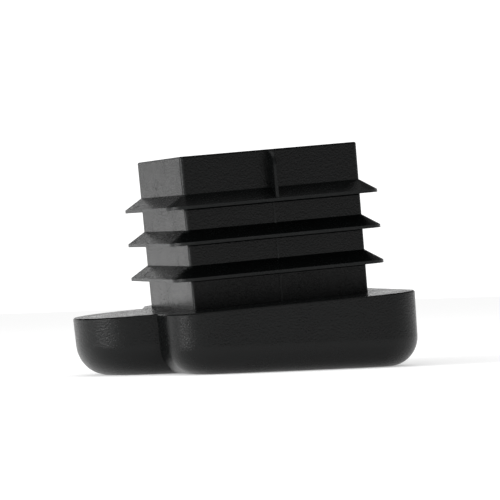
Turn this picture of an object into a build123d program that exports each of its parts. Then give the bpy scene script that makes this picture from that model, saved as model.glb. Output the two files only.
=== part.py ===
from build123d import *
import math
import os

# Tube end cap: a push-in plug for square tube on a wedge-shaped foot, moulded in one piece.
# Drawn in the tube's frame first: the tube's axis is Z, and Z = 0 is the shoulder the tube stands on.
# Millimetres throughout. The finished cap is then leaned over until its sole lies flat.

# The tube
TUBE_INNER = 36.0
TUBE_OUTER = 40.0

# The plug that goes into the tube
PLUG_SIDE = 30.7
PLUG_HEIGHT = 25.6
PLUG_CORNER = 0.5
PLUG_RIM_ROUND = 0.3
PLUG_SPLAY = 0.45  # degrees, how far the walls spread towards the rim
PLUG_WALL = 2.5
CORE_CORNER = 1.5
CORE_FLOOR_BELOW_SHOULDER = 6.0

# The barbs round it: a sloping top, a narrow edge and a flat underside
BARB_COUNT = 3
BARB_SQUEEZE = 0.5
BARB_SIDE = TUBE_INNER + 2 * BARB_SQUEEZE
BARB_REACH = (BARB_SIDE - PLUG_SIDE) / 2
BARB_CORNER = PLUG_CORNER + BARB_REACH
BARB_EDGE = 0.52
BARB_SLOPE_HEIGHT = 2.0
FIRST_BARB_HEIGHT = 4.8
BARB_PITCH = 6.0

# The centring fins above the top barb, and the fine bead where the mould halves meet
FIN_THICKNESS = 0.6
FIN_REACH = 2.9
FIN_LEAD_IN = 2.4
BEAD_WIDTH = 0.3
BEAD_PROUD = 0.12

# The foot's outline, seen along the tube: a block under the tube with a toe towards -Y ...
BLOCK_LEFT = -22.3
BLOCK_RIGHT = TUBE_OUTER / 2 + 0.65
BLOCK_BACK = TUBE_OUTER / 2 + 1.0
TOE_FRONT = -30.2
TOE_BOW = 1.5
TOE_CORNER = 8.5
BACK_CORNER = 5.6
BACK_LEFT_CORNER = (-15.3, BLOCK_BACK)
# ... and a round lobe that grows out of its left side, with a crease in front of it and behind it
LOBE_CENTRE = (-20.2, -4.2)
LOBE_RADIUS = 13.22

# The sole: a plane under the tube's axis, out of square with the tube in both directions
SOLE_DEPTH = 11.95
WALL_DRAFT = 1.5
LEAN_SIDEWAYS = 3.6
LEAN_FORWARD = 1.4
BLOCK_SOLE_ROUND = 4.9
LOBE_SOLE_ROUND = 5.5
TOP_EDGE_BEVEL = 0.2

OVERLAP = 1.0  # how far cutting and joining shapes run past the faces they meet


def bowed(start, end, bow):
    """An arc from start to end that stands out by bow to the right of the straight line."""
    along = Vector(*end) - Vector(*start)
    middle = (Vector(*start) + Vector(*end)) * 0.5
    outward = Vector(along.Y, -along.X).normalized()
    return ThreePointArc(Vector(*start), middle + outward * bow, Vector(*end))


def block_outline():
    """The block and its toe seen along the tube, counter-clockwise from the middle of the lobe."""
    inside_lobe = (BLOCK_LEFT, LOBE_CENTRE[1])
    toe_left = (BLOCK_LEFT, TOE_FRONT)
    toe_right = (BLOCK_RIGHT, TOE_FRONT)
    back_right = (BLOCK_RIGHT, BLOCK_BACK)
    edges = [
        Line(inside_lobe, toe_left),
        bowed(toe_left, toe_right, TOE_BOW),
        Line(toe_right, back_right),
        Line(back_right, BACK_LEFT_CORNER),
        Line(BACK_LEFT_CORNER, inside_lobe),
    ]
    outline = make_face(Wire(edges))
    for point, radius in (
        (toe_left, TOE_CORNER),
        (toe_right, TOE_CORNER),
        (back_right, BACK_CORNER),
        (BACK_LEFT_CORNER, BACK_CORNER),
    ):
        corner = outline.vertices().sort_by_distance(Vector(*point))[0]
        outline = fillet(corner, radius)
    return outline


def sole_plane():
    """The plane of the sole in the tube's frame, facing up into the cap."""
    slope_x = math.tan(math.radians(LEAN_SIDEWAYS))
    slope_y = math.tan(math.radians(LEAN_FORWARD))
    return Plane(origin=(0, 0, -SOLE_DEPTH), z_dir=(slope_x, slope_y, 1))


def wedge(outline, edge_round):
    """Drafted walls on an outline, from the shoulder down to the sloping sole, with a full round below."""
    body = extrude(outline, amount=-2 * SOLE_DEPTH)
    walls = body.faces() - body.faces().filter_by(Axis.Z)
    body = draft(walls, Plane.XY, -WALL_DRAFT)
    sole = sole_plane()
    body = split(body, bisect_by=sole, keep=Keep.TOP)
    bottom = body.faces().sort_by(Axis.Z)[0]
    return fillet(bottom.edges(), edge_round)


def foot():
    """The block and the lobe, each with its own round below, and a small bevel along their top edge."""
    lobe = wedge(Pos(*LOBE_CENTRE) * Circle(LOBE_RADIUS), LOBE_SOLE_ROUND)
    body = wedge(block_outline(), BLOCK_SOLE_ROUND) + lobe
    top = body.faces().filter_by(Axis.Z).sort_by(Axis.Z)[-1]
    return chamfer(top.edges(), TOP_EDGE_BEVEL)


def rounded_square(side, radius, height):
    """A flat square with rounded corners, round the tube's axis at a height."""
    return Pos(0, 0, height) * RectangleRounded(side, side, radius)


def barb(underside):
    """One barb: a thin edge all round, then a slope back to the plug's wall, coned at the corners."""
    square = rounded_square(BARB_SIDE, BARB_CORNER, underside)
    slope_from_upright = math.degrees(math.atan(BARB_REACH / BARB_SLOPE_HEIGHT))
    slope = extrude(Pos(0, 0, BARB_EDGE) * square, amount=BARB_SLOPE_HEIGHT, taper=slope_from_upright)
    return extrude(square, amount=BARB_EDGE) + slope


def barb_heights():
    return [FIRST_BARB_HEIGHT + BARB_PITCH * i for i in range(BARB_COUNT)]


def wall_reach(height):
    """How far the plug's wall stands from the tube's axis at a height."""
    return PLUG_SIDE / 2 + height * math.tan(math.radians(PLUG_SPLAY))


def fin():
    """A centring fin on the front face, from the rim down to the edge of the top barb."""
    root_y = -PLUG_SIDE / 2 + OVERLAP
    tip_y = -PLUG_SIDE / 2 - FIN_REACH
    rim_z = PLUG_HEIGHT - PLUG_RIM_ROUND
    foot_z = barb_heights()[-1] + BARB_EDGE
    corners = [(root_y, foot_z), (tip_y, foot_z), (tip_y, rim_z), (root_y, rim_z)]
    profile = make_face(Polyline(*corners, close=True))
    leading_corner = profile.vertices().sort_by_distance((tip_y, rim_z))[0]
    profile = fillet(leading_corner, FIN_LEAD_IN)
    return extrude(Plane.YZ * profile, amount=FIN_THICKNESS / 2, both=True)


def bead():
    """The fine line of the mould's parting, standing proud down the middle of the front face."""
    rim_z = PLUG_HEIGHT - PLUG_RIM_ROUND
    root_y = -PLUG_SIDE / 2 + OVERLAP
    foot_y = -wall_reach(0) - BEAD_PROUD
    head_y = -wall_reach(rim_z) - BEAD_PROUD
    corners = [(root_y, 0), (foot_y, 0), (head_y, rim_z), (root_y, rim_z)]
    profile = make_face(Polyline(*corners, close=True))
    return extrude(Plane.YZ * profile, amount=BEAD_WIDTH / 2, both=True)


def plug():
    """The ribbed plug, with its fins and beads on the front and back faces."""
    base = rounded_square(PLUG_SIDE, PLUG_CORNER, 0)
    body = extrude(base, amount=PLUG_HEIGHT, taper=-PLUG_SPLAY) + extrude(base, amount=-OVERLAP)
    rim = body.faces().sort_by(Axis.Z)[-1]
    body = fillet(rim.edges(), PLUG_RIM_ROUND)
    for height in barb_heights():
        body += barb(height)
    for turn in (0, 180):
        body += Rot(0, 0, turn) * fin()
        body += Rot(0, 0, turn) * bead()
    return body


def core():
    """The hollow that keeps the wall thickness even, open at the plug's rim."""
    side = PLUG_SIDE - 2 * PLUG_WALL
    depth = PLUG_HEIGHT + CORE_FLOOR_BELOW_SHOULDER + OVERLAP
    return extrude(rounded_square(side, CORE_CORNER, -CORE_FLOOR_BELOW_SHOULDER), amount=depth)


def end_cap():
    """The whole cap in the tube's frame."""
    return foot() + plug() - core()


def standing(cap):
    """The cap leaned over so that the sole lies on Z = 0, with the tube's axis meeting it at the origin."""
    sole = sole_plane()
    upright = Plane(origin=sole.origin, x_dir=(1, 0, -sole.z_dir.X / sole.z_dir.Z), z_dir=sole.z_dir)
    return upright.to_local_coords(cap)


os.makedirs("parts", exist_ok=True)
export_step(standing(end_cap()), "parts/end_cap.step")
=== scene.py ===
import math

import bpy
from mathutils import Matrix, Vector

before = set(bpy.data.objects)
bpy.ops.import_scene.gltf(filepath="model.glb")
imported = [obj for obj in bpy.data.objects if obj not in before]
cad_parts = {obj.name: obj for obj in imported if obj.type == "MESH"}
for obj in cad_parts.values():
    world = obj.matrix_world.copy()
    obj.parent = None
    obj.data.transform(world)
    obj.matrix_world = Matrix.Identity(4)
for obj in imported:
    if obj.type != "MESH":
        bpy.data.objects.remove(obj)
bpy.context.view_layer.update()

MM = 0.001

# Camera: where it stands, where it points and how far it is tipped over
CAMERA_EYE = Vector((-128.217, -451.965, 12.696)) * MM
CAMERA_AIM = Vector((-1.514, 0.567, 20.522)) * MM
CAMERA_TIP = math.radians(2.045)
CAMERA_LENS = 194.4  # mm, on a 36 mm sensor

# Black plastic, with a fine grain in its colour, roughness and relief, and a broad cloud in its roughness
BLACK = (0.0020, 0.0024, 0.0024)
BLACK_VARIES = 0.15
PLASTIC_IOR = 1.48
PLASTIC_SPECULAR = 0.23
ROUGHNESS = (0.19, 0.27)
GRAIN_SIZE = 0.30 * MM
GRAIN_DEPTH = 0.055 * MM
GRAIN_ROUGHNESS = (-0.055, 0.055)
GRAIN_SPREAD = (0.35, 0.65)  # the noise keeps mostly within this
CLOUDS_PER_METRE = 220
CLOUD_SPREAD = (0.3, 0.7)

# The plug: a painted highlight that makes its edges, corners and bead a little paler, and a painted shade
# line where each barb's underside meets the wall
TUBE_AXIS = (-0.0628, -0.0243, 0.9977)
FIRST_BARB = 16.75 * MM  # its underside, from the sole along the tube's axis
BARB_PITCH = 6.0 * MM
BARB_COUNT = 3
BARB_EDGE = 0.52 * MM
TOP_BARB_EDGE = (BARB_COUNT - 1) * BARB_PITCH + BARB_EDGE  # over the first underside
# A painted highlight: the paler black mixed onto the plug's edges, corners and bead
PAINTED_HIGHLIGHT_BLACK = (0.0090, 0.0100, 0.0100)
# Height of the painted shade line under each barb
SHADE_DEPTH = 0.25 * MM
PLUG_FOOT_UNDER_BARB = 4.8 * MM
INSIDE_PLUG_WALL = 14.1 * MM
BESIDE_PLUG_WALL = 15.75 * MM
PLUG_CORNER_FROM = 15.0 * MM
BEAD_HALF_WIDTH = 0.2 * MM


def nodes_of(owner):
    """A cleared node tree, with short calls to add and join nodes."""
    owner.use_nodes = True
    tree = owner.node_tree
    tree.nodes.clear()

    def add(kind, **settings):
        node = tree.nodes.new(kind)
        for name, value in settings.items():
            setattr(node, name, value)
        return node

    def join(source, target):
        tree.links.new(source, target)

    return add, join


def ranged(add, join, source, spread, to):
    """A value carried from one range to another, held at the ends."""
    node = add("ShaderNodeMapRange")
    limits = (*spread, *to)
    for name, value in zip(("From Min", "From Max", "To Min", "To Max"), limits):
        node.inputs[name].default_value = value
    join(source, node.inputs["Value"])
    return node.outputs["Result"]


def barb_masks(add, join, place):
    """Two masks over the plug's outside: a painted highlight on its narrow edges and beads, and a painted
    shade line just under each barb.

    Height runs along the tube's axis from the first barb's underside, and repeats every BARB_PITCH.
    """

    def maths(operation, first, second):
        node = add("ShaderNodeMath", operation=operation)
        for socket, value in zip(node.inputs, (first, second)):
            if isinstance(value, (int, float)):
                socket.default_value = value
            else:
                join(value, socket)
        return node.outputs[0]

    along = add("ShaderNodeVectorMath", operation="DOT_PRODUCT")
    join(place.outputs["Object"], along.inputs[0])
    along.inputs[1].default_value = TUBE_AXIS
    height = maths("SUBTRACT", along.outputs["Value"], FIRST_BARB)
    on_axis = add("ShaderNodeVectorMath", operation="SCALE")
    on_axis.inputs[0].default_value = TUBE_AXIS
    join(along.outputs["Value"], on_axis.inputs["Scale"])
    across = add("ShaderNodeVectorMath", operation="SUBTRACT")
    join(place.outputs["Object"], across.inputs[0])
    join(on_axis.outputs[0], across.inputs[1])
    size = add("ShaderNodeVectorMath", operation="ABSOLUTE")
    join(across.outputs[0], size.inputs[0])
    split = add("ShaderNodeSeparateXYZ")
    join(size.outputs[0], split.inputs["Vector"])
    far = maths("MAXIMUM", split.outputs["X"], split.outputs["Y"])
    near = maths("MINIMUM", split.outputs["X"], split.outputs["Y"])
    outside = maths("GREATER_THAN", far, INSIDE_PLUG_WALL)
    on_wall = maths("LESS_THAN", far, BESIDE_PLUG_WALL)

    above = maths("GREATER_THAN", height, -SHADE_DEPTH)
    below = maths("LESS_THAN", height, TOP_BARB_EDGE)
    here = maths("MULTIPLY", maths("MULTIPLY", above, below), outside)
    phase = maths("FLOORED_MODULO", height, BARB_PITCH)
    barb_edge = maths("MULTIPLY", here, maths("LESS_THAN", phase, BARB_EDGE))
    corner = maths("MULTIPLY", on_wall, maths("GREATER_THAN", near, PLUG_CORNER_FROM))
    bead_or_fin = maths("MAXIMUM", on_wall, maths("GREATER_THAN", height, TOP_BARB_EDGE))
    middle = maths("MULTIPLY", outside, maths("LESS_THAN", split.outputs["X"], BEAD_HALF_WIDTH))
    on_plug = maths("GREATER_THAN", height, -PLUG_FOOT_UNDER_BARB)
    bead = maths("MULTIPLY", maths("MULTIPLY", middle, bead_or_fin), on_plug)
    # Painted highlight mask: the barb edges, the plug's corners and the bead
    painted_highlight = maths("MAXIMUM", barb_edge, maths("MAXIMUM", maths("MULTIPLY", corner, on_plug), bead))
    # Painted shade mask: a thin band just under each barb's underside
    shade = maths("MULTIPLY", here, maths("GREATER_THAN", phase, BARB_PITCH - SHADE_DEPTH))
    return painted_highlight, shade


def black_plastic():
    """Moulded black plastic: a fine spark-eroded grain, and a sheen that varies a little over it. A painted
    highlight pales the plug's edges in the base colour, and a painted shade darkens the gloss in a line
    under each barb.
    """
    material = bpy.data.materials.new("black_plastic_grained")
    add, join = nodes_of(material)
    out = add("ShaderNodeOutputMaterial")
    shader = add("ShaderNodeBsdfPrincipled")
    place = add("ShaderNodeTexCoord")
    join(shader.outputs["BSDF"], out.inputs["Surface"])
    shader.inputs["IOR"].default_value = PLASTIC_IOR
    shader.inputs["Specular IOR Level"].default_value = PLASTIC_SPECULAR

    grain = add("ShaderNodeTexNoise", noise_dimensions="3D")
    grain.inputs["Scale"].default_value = 1 / GRAIN_SIZE
    grain.inputs["Detail"].default_value = 3
    grain.inputs["Roughness"].default_value = 0.6
    join(place.outputs["Object"], grain.inputs["Vector"])

    cloud = add("ShaderNodeTexNoise", noise_dimensions="3D")
    cloud.inputs["Scale"].default_value = CLOUDS_PER_METRE
    cloud.inputs["Detail"].default_value = 2
    join(place.outputs["Object"], cloud.inputs["Vector"])

    rough = ranged(add, join, cloud.outputs["Fac"], CLOUD_SPREAD, ROUGHNESS)
    speckle = ranged(add, join, grain.outputs["Fac"], GRAIN_SPREAD, GRAIN_ROUGHNESS)
    speckled = add("ShaderNodeMath", operation="ADD")
    join(rough, speckled.inputs[0])
    join(speckle, speckled.inputs[1])
    join(speckled.outputs[0], shader.inputs["Roughness"])

    tint = add("ShaderNodeMix", data_type="RGBA")
    tint.inputs["A"].default_value = (*[c * (1 - BLACK_VARIES) for c in BLACK], 1)
    tint.inputs["B"].default_value = (*[c * (1 + BLACK_VARIES) for c in BLACK], 1)
    join(grain.outputs["Fac"], tint.inputs["Factor"])
    painted_highlight, shade = barb_masks(add, join, place)
    # Painted highlight: the mask mixes the paler black into the base colour
    highlighted_colour = add("ShaderNodeMix", data_type="RGBA")
    highlighted_colour.inputs["B"].default_value = (*PAINTED_HIGHLIGHT_BLACK, 1)
    join(painted_highlight, highlighted_colour.inputs["Factor"])
    join(tint.outputs["Result"], highlighted_colour.inputs["A"])
    join(highlighted_colour.outputs["Result"], shader.inputs["Base Color"])
    # Painted shade: the specular tint goes black in the line under each barb, darkening the gloss there
    gloss = add("ShaderNodeMix", data_type="RGBA")
    gloss.inputs["A"].default_value = (1, 1, 1, 1)
    gloss.inputs["B"].default_value = (0, 0, 0, 1)
    join(shade, gloss.inputs["Factor"])
    join(gloss.outputs["Result"], shader.inputs["Specular Tint"])

    bump = add("ShaderNodeBump")
    bump.inputs["Strength"].default_value = 1.0
    bump.inputs["Distance"].default_value = GRAIN_DEPTH
    join(grain.outputs["Fac"], bump.inputs["Height"])
    join(bump.outputs["Normal"], shader.inputs["Normal"])
    return material


def dress_cap():
    """The cap's own surface, in the grained plastic."""
    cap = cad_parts["end_cap"]
    plastic = black_plastic()
    for slot in cap.material_slots:
        slot.material = plastic


# The studio. Camera, gloss and transmission see the same white floor and the same room.
FLOOR_RADIUS = 3.0
FLOOR_COLOUR = (0.85, 0.85, 0.85)
FLOOR_GLOW = 0.36
ROOM_AMBIENT = 0.7
ROOM_CEILING = 0.1
CEILING_FROM = 0.15  # sines of the angles over the horizon
CEILING_ALL_BY = 0.27
ROOM_LEVELS = (  # bearing in turns anticlockwise from -X, brightness
    (0.000, 0.50),  # left
    (0.160, 0.10),  # front left
    (0.250, 0.30),  # front
    (0.500, 0.45),  # right
    (0.640, 0.60),
    (0.660, 1.20),  # behind: the white backdrop
    (0.750, 1.20),
    (0.790, 0.30),
    (0.900, 0.30),
)
BRIGHTEST = max(level for _, level in ROOM_LEVELS)
LOOK_AT = Vector((0, 0, 0.018))


def background_rays(add, join):
    """1 for the rays that show the background: camera, glossy and transmission."""
    rays = add("ShaderNodeLightPath")
    pair = add("ShaderNodeMath", operation="MAXIMUM")
    join(rays.outputs["Is Camera Ray"], pair.inputs[0])
    join(rays.outputs["Is Glossy Ray"], pair.inputs[1])
    seen = add("ShaderNodeMath", operation="MAXIMUM")
    join(pair.outputs[0], seen.inputs[0])
    join(rays.outputs["Is Transmission Ray"], seen.inputs[1])
    return seen.outputs[0]


def floor():
    """A wide pale disc with a little glow of its own, so that it looks white and keeps the cap's shadow."""
    bpy.ops.mesh.primitive_circle_add(vertices=96, radius=FLOOR_RADIUS, fill_type="NGON")
    disc = bpy.context.object
    disc.name = "floor"
    material = bpy.data.materials.new("floor_white")
    add, join = nodes_of(material)
    out = add("ShaderNodeOutputMaterial")
    pale = add("ShaderNodeBsdfDiffuse")
    pale.inputs["Color"].default_value = (*FLOOR_COLOUR, 1)
    glow = add("ShaderNodeEmission")
    white = add("ShaderNodeAddShader")
    share = add("ShaderNodeMath", operation="MULTIPLY")
    share.inputs[1].default_value = FLOOR_GLOW
    join(background_rays(add, join), share.inputs[0])
    join(share.outputs[0], glow.inputs["Strength"])
    join(pale.outputs[0], white.inputs[0])
    join(glow.outputs[0], white.inputs[1])
    join(white.outputs[0], out.inputs["Surface"])
    disc.data.materials.append(material)


def room():
    """A room whose brightness goes by the bearing, white behind the cap, under a dim ceiling.

    Matt surfaces get an even light from it.
    """
    world = bpy.data.worlds.new("studio")
    bpy.context.scene.world = world
    add, join = nodes_of(world)
    out = add("ShaderNodeOutputWorld")
    ambient = add("ShaderNodeBackground")
    ambient.inputs["Color"].default_value = (1, 1, 1, 1)
    ambient.inputs["Strength"].default_value = ROOM_AMBIENT
    walls = add("ShaderNodeBackground")
    walls.inputs["Strength"].default_value = BRIGHTEST

    place = add("ShaderNodeTexCoord")
    bearing = add("ShaderNodeTexGradient", gradient_type="RADIAL")
    ramp = add("ShaderNodeValToRGB")
    stops = ramp.color_ramp.elements
    while len(stops) < len(ROOM_LEVELS):
        stops.new(1.0)
    for stop, (turn, level) in zip(stops, ROOM_LEVELS):
        share = level / BRIGHTEST
        stop.position = turn
        stop.color = (share, share, share, 1)
    join(place.outputs["Generated"], bearing.inputs["Vector"])
    join(bearing.outputs["Fac"], ramp.inputs["Fac"])
    split = add("ShaderNodeSeparateXYZ")
    join(place.outputs["Generated"], split.inputs["Vector"])
    overhead = add("ShaderNodeMapRange", interpolation_type="SMOOTHSTEP")
    overhead.inputs["From Min"].default_value = CEILING_FROM
    overhead.inputs["From Max"].default_value = CEILING_ALL_BY
    join(split.outputs["Z"], overhead.inputs["Value"])
    level = add("ShaderNodeMix", data_type="RGBA")
    level.inputs["B"].default_value = (*[ROOM_CEILING / BRIGHTEST] * 3, 1)
    join(overhead.outputs["Result"], level.inputs["Factor"])
    join(ramp.outputs["Color"], level.inputs["A"])
    join(level.outputs["Result"], walls.inputs["Color"])

    view = add("ShaderNodeMixShader")
    join(background_rays(add, join), view.inputs["Fac"])
    join(ambient.outputs[0], view.inputs[1])
    join(walls.outputs[0], view.inputs[2])
    join(view.outputs[0], out.inputs["Surface"])


def soft_box(name, place, size, power):
    """A rectangular soft box at place, facing the cap."""
    lamp = bpy.data.lights.new(name, "AREA")
    lamp.shape = "RECTANGLE"
    lamp.size, lamp.size_y = size
    lamp.energy = power
    box = bpy.data.objects.new(name, lamp)
    box.location = place
    box.rotation_euler = (LOOK_AT - Vector(place)).to_track_quat("-Z", "Y").to_euler()
    bpy.context.scene.collection.objects.link(box)


def lamps():
    """A soft box over the cap and another to its left."""
    soft_box("top_box", (0, 0.02, 0.6), (0.5, 0.5), 0.4)
    soft_box("left_box", (-0.60, -0.03, 0.14), (0.26, 0.34), 3.2)


def camera():
    """A long lens from nearly level, tipped a little about its own axis."""
    data = bpy.data.cameras.new("camera")
    data.sensor_width = 36
    data.lens = CAMERA_LENS
    data.clip_start = 0.01
    eye = bpy.data.objects.new("camera", data)
    bpy.context.scene.collection.objects.link(eye)
    turn = (CAMERA_AIM - CAMERA_EYE).to_track_quat("-Z", "Y").to_matrix().to_4x4()
    eye.matrix_world = Matrix.Translation(CAMERA_EYE) @ turn @ Matrix.Rotation(-CAMERA_TIP, 4, "Z")
    bpy.context.scene.camera = eye


dress_cap()
floor()
room()
lamps()
camera()
bpy.context.scene.view_settings.view_transform = "Standard"
